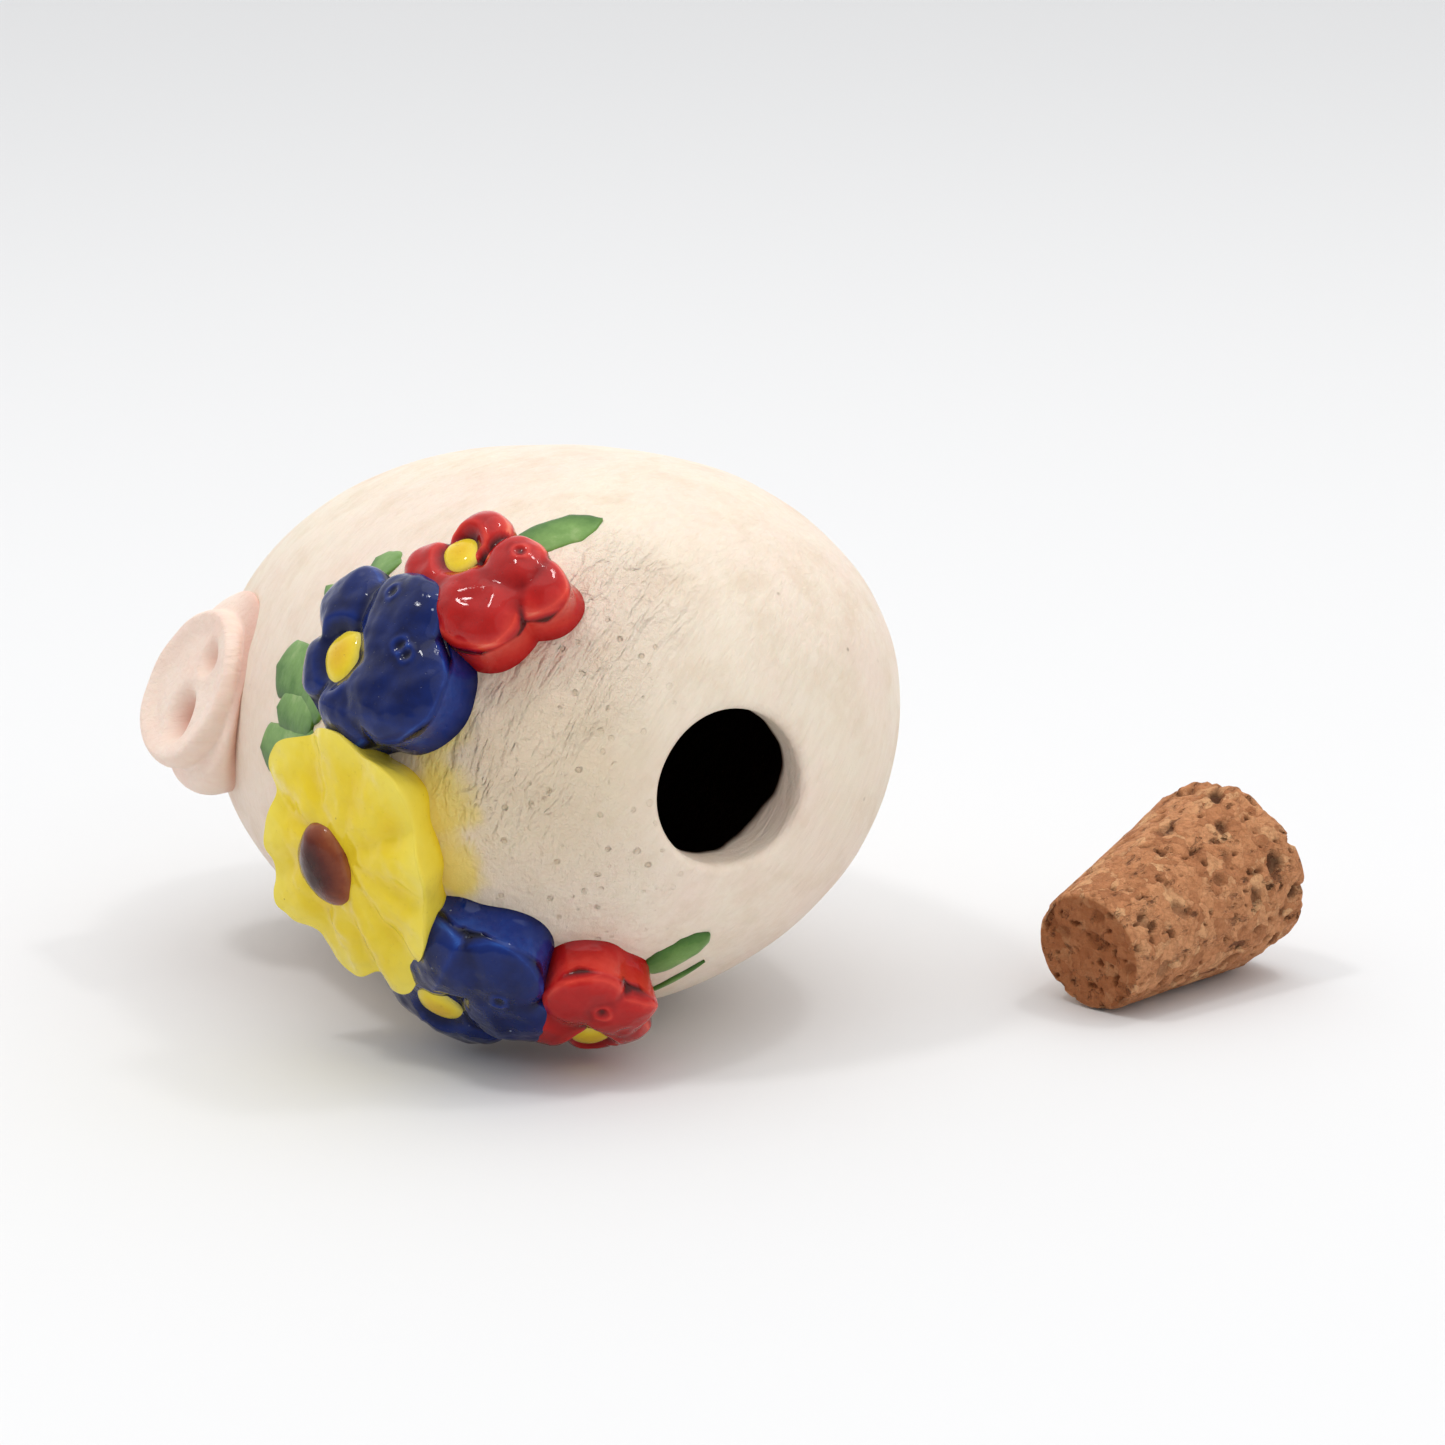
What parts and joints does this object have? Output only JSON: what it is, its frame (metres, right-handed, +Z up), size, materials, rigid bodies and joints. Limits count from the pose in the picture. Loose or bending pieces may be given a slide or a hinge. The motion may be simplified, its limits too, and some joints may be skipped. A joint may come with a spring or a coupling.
{
  "type": "maracas",
  "caption": "Hand-modelled ceramic egg shaker with loose pellets inside, a bored filling mouth, a tapered cork stopper, a flower garland and a small snout.",
  "frame": {"origin": "centre of the resting footprint of the whole set: the egg lying on its flat with the cork stopper beside it", "axes": "+Z up from the table, -Y towards the side that the bored mouth faces, +X from the egg towards the cork stopper"},
  "size_m": [0.1136, 0.079, 0.0523],
  "materials": {
    "cream_slip": "brushed cream slip over fired clay, satin to matte",
    "pink_slip": "brushed pink slip over fired clay, satin to matte",
    "red_glaze": "thick glossy crimson glaze with small bubbles",
    "blue_glaze": "thick glossy cobalt glaze, paler where it thins over edges",
    "yellow_glaze": "thick glossy yellow glaze",
    "brown_glaze": "thick glossy dark brown glaze",
    "cork": "agglomerated cork granules, crumbling at the large end",
    "bare_clay": "unglazed fired clay"
  },
  "bodies": {
    "shaker": {"shell": "cream_slip", "snout": "pink_slip", "red_blossom_top": "red_glaze", "red_blossom_top_centre": "yellow_glaze", "blue_blossom_top": "blue_glaze", "blue_blossom_top_centre": "yellow_glaze", "yellow_blossom": "yellow_glaze", "yellow_blossom_centre": "brown_glaze", "blue_blossom_bottom": "blue_glaze", "blue_blossom_bottom_centre": "yellow_glaze", "red_blossom_bottom": "red_glaze", "red_blossom_bottom_centre": "yellow_glaze"},
    "stopper": {"stopper": "cork"},
    "pellet_1": {"pellet_1": "bare_clay"},
    "pellet_2": {"pellet_2": "bare_clay"},
    "pellet_3": {"pellet_3": "bare_clay"},
    "pellet_4": {"pellet_4": "bare_clay"},
    "pellet_5": {"pellet_5": "bare_clay"}
  },
  "joints": [
    {"name": "stopper_lift", "type": "slide", "parent": "shaker", "child": "stopper", "axis": [0, 0, 1], "range_m": [0, 0.06]},
    {"name": "pellet_1_roll", "type": "hinge", "parent": "shaker", "child": "pellet_1", "pos_m": [-0.01277, -0.00592, 0.02616], "axis": [0.4981, -0.8627, 0.0872], "continuous": true},
    {"name": "pellet_2_roll", "type": "hinge", "parent": "shaker", "child": "pellet_2", "pos_m": [-0.01277, -0.00592, 0.02616], "axis": [0.4981, -0.8627, 0.0872], "continuous": true},
    {"name": "pellet_3_roll", "type": "hinge", "parent": "shaker", "child": "pellet_3", "pos_m": [-0.01277, -0.00592, 0.02616], "axis": [0.4981, -0.8627, 0.0872], "continuous": true},
    {"name": "pellet_4_roll", "type": "hinge", "parent": "shaker", "child": "pellet_4", "pos_m": [-0.01277, -0.00592, 0.02616], "axis": [0.4981, -0.8627, 0.0872], "continuous": true},
    {"name": "pellet_5_roll", "type": "hinge", "parent": "shaker", "child": "pellet_5", "pos_m": [-0.01277, -0.00592, 0.02616], "axis": [0.4981, -0.8627, 0.0872], "continuous": true}
  ]
}
